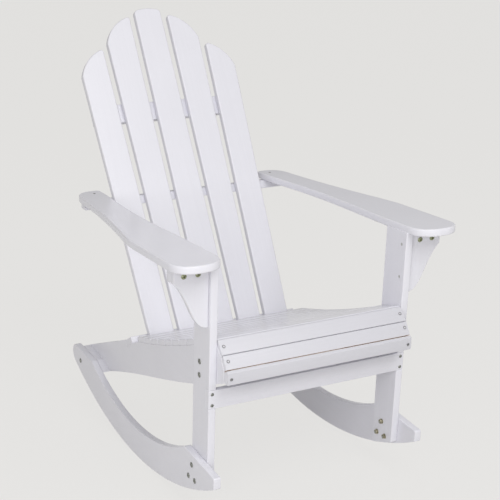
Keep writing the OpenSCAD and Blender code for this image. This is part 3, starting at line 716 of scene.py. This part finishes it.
def arm_outline():
    """Hollowed inner edge, two full front corners, the S of the outer edge and the round end."""
    sweep = 0.49 * (ARM_OUT - ARM_IN)
    outer_sweep = 0.45 * (ARM_OUT - ARM_IN)
    return sawn(bent(arm_pt(ARM_REAR_IN, 0.983), arm_pt(ARM_REAR_IN, 0.855),
                     arm_pt(ARM_WAIST, 0.75), arm_pt(ARM_WAIST, 0.56)),
                bent(arm_pt(ARM_WAIST, 0.55), arm_pt(ARM_WAIST, 0.415),
                     arm_pt(ARM_IN, 0.29), arm_pt(ARM_IN, 0.15)),
                swept((ARM_IN, sweep - ARM_FRONT), (ARM_IN, -ARM_FRONT), (ARM_IN + sweep, -ARM_FRONT)),
                swept((ARM_OUT - outer_sweep, -ARM_FRONT), (ARM_OUT, -ARM_FRONT),
                      (ARM_OUT, outer_sweep - ARM_FRONT)),
                bent(arm_pt(ARM_OUT, 0.316), arm_pt(ARM_OUT, 0.41),
                     arm_pt(ARM_REAR_OUT + 0.2 * ARM_REAR_W, 0.58), arm_pt(ARM_REAR_OUT, 0.915)),
                swept((ARM_REAR_OUT, ARM_REAR - 0.88 * ARM_REAR_W), (ARM_REAR_OUT, ARM_REAR),
                      (ARM_REAR_IN + 0.38 * ARM_REAR_W, ARM_REAR)),
                swept((ARM_REAR_IN + 0.18 * ARM_REAR_W, ARM_REAR), (ARM_REAR_IN, ARM_REAR),
                      (ARM_REAR_IN, ARM_REAR - 0.18 * ARM_REAR_W)))


arm_cut = Cut((0, 0, ARM_H), (1, 0, 0), (0, math.cos(ARM_SLOPE), -math.sin(ARM_SLOPE)))
both_sides("arm", arm_outline(), arm_cut, 3.6, (1, 0, 2))


# ---- bolts ----
# Low round-headed steel bolts with a hexagon socket join legs, rockers and stringers, each with a
# washer and a nut on the inside. They are turned and cold formed, bronze plated, and gone dull.

AROUND = 36
BOLT_R = 3.0
BOLT_HEAD_R = 6.5
BOLT_HEAD_H = 2.4
WASHER_R = 6.5
WASHER_T = 1.2
NUT_R = 5.7
NUT_H = 5.0
BOLT_TIP = 1.0
# half a cross recess's arm by the recess's radius, and the angle past which an edge stays sharp
CROSS_ARM = 0.28
SHARP_EDGE = math.radians(38)


def plated(name, pale, dull, roughness):
    """A thin plating on formed steel: cloudy patches of a duller tone, small dark spots, fine
    lines from the tool, and bare bright rims."""
    finish = Finish(name, Metallic=0.9)
    place = finish.node("ShaderNodeTexCoord", None, None, 3)
    rim = finish.node("ShaderNodeAttribute", {"attribute_name": "edge"}, None, 2)
    patches = finish.noise(place, 420.0, 4.0, 0.6).between(0.35, 0.68)
    spots = finish.noise(place, 1500.0, 2.0).between(0.6, 0.72)
    marks = finish.noise(finish.stretched(place, (900, 900, 4200)), 1.0, 2.0)
    body = finish.mixed(patches, (*pale, 1), (*dull, 1))
    spotted = finish.mixed(spots * 0.5, body, (*(0.55 * part for part in dull), 1))
    rubbed = rim * (1 - patches * 0.5) * 0.45
    bright = finish.mixed(rubbed, spotted, (*(min(1.5 * part, 1) for part in pale), 1))
    return finish.finished(Base_Color=bright, Roughness=roughness + patches * 0.16 + spots * 0.12,
                           Normal=finish.raised(marks * 0.5 + patches * 0.5, 0.3, 0.0001))


def turned(name, node, rings, spots, finish, hollow=False):
    """Copies of a turned and formed piece, one at each spot, a place and the way its head faces.
    The rings follow each other along the profile: radius R, height, shape, and rim, 1 where a metal
    edge is rubbed bright and where a painted-over head carries its ring of painted shade. At the angle
    a the radius is R for a circle, R cos 30 / cos b for a hexagon, with b from the middle of its side,
    and the lesser of R / cos c and CROSS_ARM R / sin c for a cross, with c from the nearest arm. A
    hollow piece closes on its first ring."""
    angle = np.linspace(0, 2 * math.pi, AROUND, endpoint=False)
    off_side = (angle + math.pi / 6) % (math.pi / 3) - math.pi / 6
    off_arm = np.abs((angle + math.pi / 4) % (math.pi / 2) - math.pi / 4)
    shapes = {"round": np.ones(AROUND), "hexagon": math.cos(math.pi / 6) / np.cos(off_side),
              "cross": np.minimum(1 / np.cos(off_arm),
                                  CROSS_ARM / np.maximum(np.sin(off_arm), 0.01))}
    reach = np.stack([ring[0] * shapes[ring[2]] for ring in rings])
    level = np.broadcast_to(np.array([ring[1] for ring in rings])[:, None], reach.shape)
    local = np.stack([reach * np.cos(angle), reach * np.sin(angle), level], 2).reshape(-1, 3)
    here = np.arange(AROUND)
    after = np.roll(here, -1)
    first = np.arange(len(rings) - 1 + hollow)[:, None] * AROUND
    second = (first + AROUND) % len(local)
    quads = np.stack([first + here, first + after, second + after, second + here], 2).reshape(-1, 4)
    points = []
    faces = []
    for number, (place, way) in enumerate(spots):
        axis = np.array(way, float) / math.hypot(*way)
        side = np.cross(axis, (0.48, 0.6, 0.64))
        side /= math.hypot(*side)
        spin = 2.4 * number
        across = math.cos(spin) * side + math.sin(spin) * np.cross(axis, side)
        head_axes = np.stack([across, np.cross(axis, across), axis])
        points.append(np.asarray(place, float) + local @ head_axes)
        start = number * len(local)
        faces += (quads + start).tolist()
        if not hollow:
            faces += [(here[::-1] + start).tolist(), (len(local) - AROUND + here + start).tolist()]
    mesh = bpy.data.meshes.new(name)
    mesh.from_pydata(stand(np.concatenate(points)), [], faces)
    mesh.polygons.foreach_set("use_smooth", np.ones(len(mesh.polygons), bool))
    mesh.set_sharp_from_angle(angle=SHARP_EDGE)
    rims = np.tile(np.repeat([float(ring[3]) for ring in rings], AROUND), len(spots))
    mesh.attributes.new("edge", "FLOAT", "POINT").data.foreach_set("value", rims)
    mesh.materials.append(finish)
    piece = bpy.data.objects.new(name, mesh)
    bpy.context.collection.objects.link(piece)
    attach(piece, "root")
    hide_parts(node)


def mirrored(spots):
    """The spots given for the right-hand side, and their mirror images on the left."""
    return spots + [((-x, y, z), (-across, along, up)) for (x, y, z), (across, along, up) in spots]


def bolt_rings(length):
    """From the chamfered tip up the shank, out under the head, over its crown, into the socket."""
    return [(2.5, -length, "round", 1), (BOLT_R, 0.5 - length, "round", 0), (BOLT_R, 0, "round", 0),
            (6.3, 0, "round", 0), (BOLT_HEAD_R, 0.25, "round", 1), (BOLT_HEAD_R, 0.85, "round", 1),
            (6.1, 1.45, "round", 0.6), (5.2, 1.95, "round", 0), (3.9, 2.28, "round", 0),
            (2.9, BOLT_HEAD_H, "round", 0.5), (2.45, 2.36, "hexagon", 1),
            (2.3, 2.1, "hexagon", 0.5), (2.25, 0.7, "hexagon", 0), (1.3, 0.5, "round", 0)]


leg_spots = [(0.6 * LEG_W, 414.0), (0.6 * LEG_W, 381.0)]
foot_spots = [(0.54 * LEG_W, 0.86 * TOE[1]), (0.74 * LEG_W, 0.66 * TOE[1]),
              (0.33 * LEG_W, 0.68 * TOE[1])]
OUT = (1, 0, 0)
IN = (-1, 0, 0)
ROCKER_OUT = LEG_OUT + BOARD
grip = 2 * BOARD + WASHER_T + NUT_H + BOLT_TIP
dull_bronze = plated("dull_bronze", (0.38, 0.39, 0.36), (0.15, 0.15, 0.135), 0.34)
turned("seat_bolts", "stringer_bolts", bolt_rings(grip),
       mirrored([((LEG_OUT, *spot), OUT) for spot in leg_spots]), dull_bronze)
turned("foot_bolts", "rocker_front_bolts", bolt_rings(grip),
       mirrored([((ROCKER_OUT, *spot), OUT) for spot in foot_spots]), dull_bronze)
turned("tail_bolts", "rocker_rear_bolts", bolt_rings(grip + BOARD),
       mirrored([((ROCKER_OUT, *HEEL_BOLT), OUT)]), dull_bronze)

nut_spots = mirrored([((STRINGER_IN, *spot), IN) for spot in [*leg_spots, HEEL_BOLT]]
                     + [((LEG_IN, *spot), IN) for spot in foot_spots])
brown_bronze = plated("brown_bronze", (0.46, 0.43, 0.31), (0.12, 0.11, 0.075), 0.3)
turned("washers", "bolt_washers",
       [(3.1, 0, "round", 0), (WASHER_R, 0, "round", 0), (WASHER_R, 0.95, "round", 1),
        (6.3, WASHER_T, "round", 1), (3.1, WASHER_T, "round", 0)],
       nut_spots, brown_bronze, True)
nut_top = WASHER_T + NUT_H
turned("nuts", "bolt_nuts",
       [(3.05, WASHER_T, "round", 0), (4.9, WASHER_T, "round", 0),
        (NUT_R, WASHER_T + 0.6, "hexagon", 1), (NUT_R, nut_top - 0.6, "hexagon", 1),
        (4.9, nut_top, "round", 0.6), (3.5, nut_top, "round", 0.4), (3.05, nut_top - 0.4, "round", 0)],
       nut_spots, brown_bronze, True)


# ---- screws ----
# Wood screws hold everything else: round heads on the apron, yellowish round heads through the
# brackets into their blocks, and countersunk cross heads in all the slats, most of them painted over.

APRON_HEAD_R = 4.0
BRACKET_HEAD_R = 6.5
SCREW_R = 2.0
POINT_R = 0.3
POINT_L = 7.0
# where a countersunk head starts to widen, below the face
NECK = -2.6
SCREW_L = 34.0
BACK_SCREW_L = 31.0
RAIL_SCREW_L = 40.0
LONG_SCREW_L = 42.0
FRONT_SCREW_IN = 10.5
screw_x = LEG_IN - BOARD / 2


def round_head(length, radius):
    """A pointed shank under a domed head with a cross recess."""
    return [(POINT_R, -length, "round", 0), (SCREW_R, POINT_L - length, "round", 0),
            (SCREW_R, 0, "round", 0), (0.96 * radius, 0, "round", 0),
            (radius, 0.06 * radius, "round", 0.8), (0.93 * radius, 0.2 * radius, "round", 0.5),
            (0.76 * radius, 0.36 * radius, "round", 0), (0.55 * radius, 0.46 * radius, "round", 0.3),
            (0.5 * radius, 0.47 * radius, "cross", 1), (0.4 * radius, 0.12 * radius, "cross", 0)]


def sunk_head(length, crown=0.5, recess=0.45):
    """A pointed shank, the cone of a countersunk head, and a low crown with a cross recess."""
    return [(POINT_R, -length, "round", 0), (SCREW_R, POINT_L - length, "round", 0),
            (SCREW_R, NECK, "round", 0), (3.5, -0.1, "round", 0), (3.6, 0.15 * crown, "round", 0.6),
            (3.2, 0.6 * crown, "round", 0.3), (2.5, 0.9 * crown, "round", 0),
            (2.0, crown, "round", 0.3), (1.85, crown, "cross", 1), (1.5, crown - recess, "cross", 0)]


def on_arm(x, s, height):
    """The point of the arm at x, s back along it and height above its underside."""
    return arm_cut.origin + x * arm_cut.across + s * arm_cut.up + height * arm_cut.through


def on_back(x, s, depth):
    """The point of the back at x, s up from its foot and depth behind its front face."""
    return in_chair(x, behind(s, depth))


apron_spots = [((LEG_IN + BOARD / 2, 0, APRON_Z + part * APRON_H), (0, -1, 0)) for part in (0.2, 0.8)]
turned("apron_screw_heads", "apron_screws", round_head(LONG_SCREW_L, APRON_HEAD_R),
       mirrored(apron_spots), dull_bronze)
# The bracket bolts' yellow plating is darkened past its own greenish yellow with painted shade, the
# shade of the arms above them.
yellow = plated("yellow_plate", (0.42, 0.44, 0.28), (0.19, 0.205, 0.135), 0.36)
bracket_bolt_z = under_arm(0) - 0.52 * BLOCK_H
bracket_spots = [((LEG_OUT + part * BRACKET_W, BRACKET_IN, bracket_bolt_z), (0, -1, 0))
                 for part in (0.32, 0.72)]
turned("bracket_bolt_heads", "bracket_bolts", round_head(SCREW_L, BRACKET_HEAD_R),
       mirrored(bracket_spots), yellow)
# The arm screws' heads are dark bronze; their darkness is painted shade, for the shade of the sunk
# hole round each head.
arm_screw_place = on_arm(ARM_REAR_IN + 0.35 * ARM_REAR_W, ARM_REAR - ARM_TAIL - RAIL_W / 2, BOARD)
turned("arm_screw_heads", "arm_screws", sunk_head(SCREW_L, 0.8, 0.7),
       mirrored([(tuple(arm_screw_place), tuple(arm_cut.through))]), dull_bronze)
zinc = plated("dull_zinc", (0.62, 0.62, 0.60), (0.40, 0.40, 0.39), 0.36)
leg_screws = [((LEG_IN, BRACKET_IN + BOARD / 2, ARM_H - part * (BRACKET_END_H + BRACKET_DROP)), IN)
              for part in (0.2, 0.735)]
turned("bracket_screw_heads", "bracket_screws", sunk_head(LONG_SCREW_L), mirrored(leg_screws), zinc)


def above(corner, tilt, along, height):
    """A screw's place and direction on a board that slopes down by tilt from the corner."""
    slope_way = np.array([math.cos(tilt), -math.sin(tilt)])
    off = np.array([math.sin(tilt), math.cos(tilt)])
    return in_chair(screw_x, corner + along * slope_way + height * off), in_chair(0, off)


def facing(low, high, part=0.5):
    """A screw's place and direction at a part of a front board's face, which runs from low to high."""
    face = np.asarray(high, float) - low
    off = (-face[1], face[0]) / np.hypot(*face)
    return in_chair(LEG_IN - FRONT_SCREW_IN, low + part * face), in_chair(0, off)


def painted_over():
    """White paint over a sunk steel head, with a broken grey ring painted on it as the shade of the
    recess round the head.
    """
    finish = Finish("painted_over", Roughness=0.4)
    place = finish.node("ShaderNodeTexCoord", None, None, 3)
    ring = finish.node("ShaderNodeAttribute", {"attribute_name": "edge"}, None, 2)
    breaks = finish.noise(place, 300.0, 2.0).between(0.25, 0.45)
    cloud = finish.noise(place, 700.0, 3.0)
    white = finish.mixed(cloud, (0.62, 0.615, 0.65, 1), (0.72, 0.715, 0.75, 1))
    return finish.finished(Base_Color=finish.mixed(ring * breaks, white, (0.19, 0.187, 0.197, 1)),
                           Normal=finish.raised(cloud, 0.4, 0.0001))


steel = plated("dark_steel", (0.34, 0.34, 0.345), (0.15, 0.15, 0.15), 0.36)
turned("lower_board_screw_heads", "front_board_screws", sunk_head(SCREW_L),
       mirrored([facing((CHIN_TOP[0], CHIN_END), CHIN_TOP)]), steel)
# white paint over the front screws, with painted shade in a ring round each head
recess_shaded_white = painted_over()
# The rims of 1 on this head mark a grey ring of painted shade, the shade of the recess round it.
painted_head = [(POINT_R, -SCREW_L, "round", 0), (SCREW_R, POINT_L - SCREW_L, "round", 0),
                (SCREW_R, NECK, "round", 0), (4.0, -0.1, "round", 0.5), (3.8, 0.1, "round", 1),
                (3.4, 0.2, "round", 1), (2.3, 0.25, "round", 1), (1.9, 0.3, "round", 0),
                (1.0, 0.25, "round", 0)]
painted_spots = [facing(UPPER_BEND, upper_section_top, 0.54), facing(LOWER_BEND, UPPER_BEND, 0.56)]
turned("painted_front_screw_heads", "front_board_screws", painted_head, mirrored(painted_spots),
       recess_shaded_white)
filled = brushed_white("filled_white", False, 0.93)
filled_head = sunk_head(SCREW_L, 0.3, 0.25)
turned("painted_wide_screw_heads", "front_board_screws", filled_head,
       mirrored([above(NOSE, WIDE_TILT, WIDE_W / 4, SLAT_T)]), filled)
slat_spots = [above(corner, tilt, SLAT_PITCH / 2, SLAT_T)
              for corner, tilt in zip(seat[1:], slat_tilts)]
turned("painted_slat_screw_heads", "seat_slat_screws", filled_head, mirrored(slat_spots), filled)


def slat_screws(s, depth):
    """Two screws into each back slat at s up from its foot, from depth behind its front face."""
    spots = []
    for k in (0, 1, 2):
        near, out = slat_edges(k, s)
        middle = (near + out) / 2
        pair = [(on_back(middle + side * 0.22 * (out - near), s, depth), in_chair(0, through_back))
                for side in (-1, 1)]
        spots += mirrored(pair) if k else pair
    return spots


turned("brace_screw_heads", "brace_screws", sunk_head(BACK_SCREW_L),
       slat_screws(BRACE_S + BRACE_H / 2, 2 * BOARD), zinc)
turned("cleat_screw_heads", "back_cleat_screws", sunk_head(BACK_SCREW_L),
       slat_screws(CLEAT_H / 3, BOARD + CLEAT_T), zinc)
rail_s = (rail_front[1] - RAIL_H / 2 - back_foot[1]) / math.cos(BACK_TILT)
slat_middles = (sum(slat_edges(k, rail_s)) * side / 2 for k in (1, 2) for side in (-1, 1))
rail_spots = [((x, rail_rear[0], rail_rear[1] - RAIL_H / 2), (0, 1, 0)) for x in (0, *slat_middles)]
turned("arm_rail_screw_heads", "arm_rail_screws", sunk_head(RAIL_SCREW_L), rail_spots, zinc)
ledge = [behind(LOWER_RAIL_S + BOARD, BOARD + CLEAT_T + part * LOWER_RAIL_W) for part in (0.3, 0.7)]
ledge_spots = [(in_chair(screw_x, point), in_chair(0, up_back)) for point in ledge]
turned("lower_rail_screw_heads", "lower_rail_screws", sunk_head(LONG_SCREW_L), mirrored(ledge_spots),
       zinc)


# ---- floor, light and camera ----
# A pale studio floor that runs out of view, a broad soft lamp high in front of the chair, and a
# weaker one to its left.

FLOOR_SIZE = 200.0
PALE = (0.776, 0.768, 0.754, 1)
# how much of the floor's own colour shows instead of the light on it
PLAIN_PART = 0.88
# how brightly the walls light the chair
ROOM_LIGHT = 0.555


def seen_pale():
    """A floor that shows mostly its own plain colour to the eye and in gloss, with a faint shadow
    of the chair, and that takes light from the lamps like any other for its bounce."""
    made = Finish("floor", Roughness=1.0, Specular_IOR_Level=0.0)
    dust = made.noise(made.node("ShaderNodeTexCoord", None, None, 3), 3.0, 3.0)
    made.finished(Base_Color=made.mixed(dust, PALE, (0.772, 0.765, 0.752, 1)))
    glow = made.node("ShaderNodeEmission", None, {"Color": PALE, "Strength": 1.05})
    ray = made.node("ShaderNodeLightPath")
    gloss = made.node("ShaderNodeLightPath", None, None, 3)
    part = (ray + gloss).between(0, 1) * PLAIN_PART
    lit = Value(made, made.shader.outputs[0])
    both = made.node("ShaderNodeMixShader", None, {0: part, 1: lit, 2: glow})
    made.feed(made.tree.nodes["Material Output"].inputs["Surface"], both)
    return made.material


def lamp(name, place, target, size, power):
    """A square soft lamp at place that faces target."""
    light = bpy.data.objects.new(name, bpy.data.lights.new(name, "AREA"))
    light.data.size = size
    light.data.energy = power
    light.location = place
    way = np.array(target, float) - place
    flat = math.hypot(way[0], way[1])
    light.rotation_euler = (math.atan2(flat, -way[2]), 0, math.atan2(way[1], way[0]) - math.pi / 2)
    bpy.context.collection.objects.link(light)


half_floor = FLOOR_SIZE / 2
floor_mesh = bpy.data.meshes.new("floor")
floor_mesh.from_pydata([(-half_floor, -half_floor, 0), (half_floor, -half_floor, 0),
                        (half_floor, half_floor, 0), (-half_floor, half_floor, 0)], [], [(0, 1, 2, 3)])
floor = bpy.data.objects.new("floor", floor_mesh)
bpy.context.collection.objects.link(floor)
floor_mesh.materials.append(seen_pale())

lamp("key_lamp", (0, -3.2, 3.6), (0, 0, 0.5), 2.5, 78)
lamp("left_lamp", (-2.4, -2.9, 1.6), (0, 0, 0.5), 2.0, 42)

# the walls light the chair softly, and show the floor's colour to the eye
world = bpy.data.worlds.new("studio")
world.use_nodes = True
bpy.context.scene.world = world
nodes = world.node_tree.nodes
links = world.node_tree.links
room = nodes["Background"]
room.inputs["Color"].default_value = PALE
room.inputs["Strength"].default_value = ROOM_LIGHT
walls = nodes.new("ShaderNodeBackground")
walls.inputs["Color"].default_value = PALE
ray = nodes.new("ShaderNodeLightPath")
either = nodes.new("ShaderNodeMixShader")
links.new(ray.outputs["Is Camera Ray"], either.inputs[0])
links.new(room.outputs[0], either.inputs[1])
links.new(walls.outputs[0], either.inputs[2])
links.new(either.outputs[0], nodes["World Output"].inputs["Surface"])

camera = bpy.data.objects.new("camera", bpy.data.cameras.new("camera"))
bpy.context.collection.objects.link(camera)
camera.data.lens = 88.6
camera.data.sensor_width = 36
camera.location = (-1.316225, -2.735741, 1.331509)
camera.rotation_euler = np.radians((74.79618, 0.99832, -26.99517))
bpy.context.scene.camera = camera

bpy.context.scene.view_settings.view_transform = "Standard"
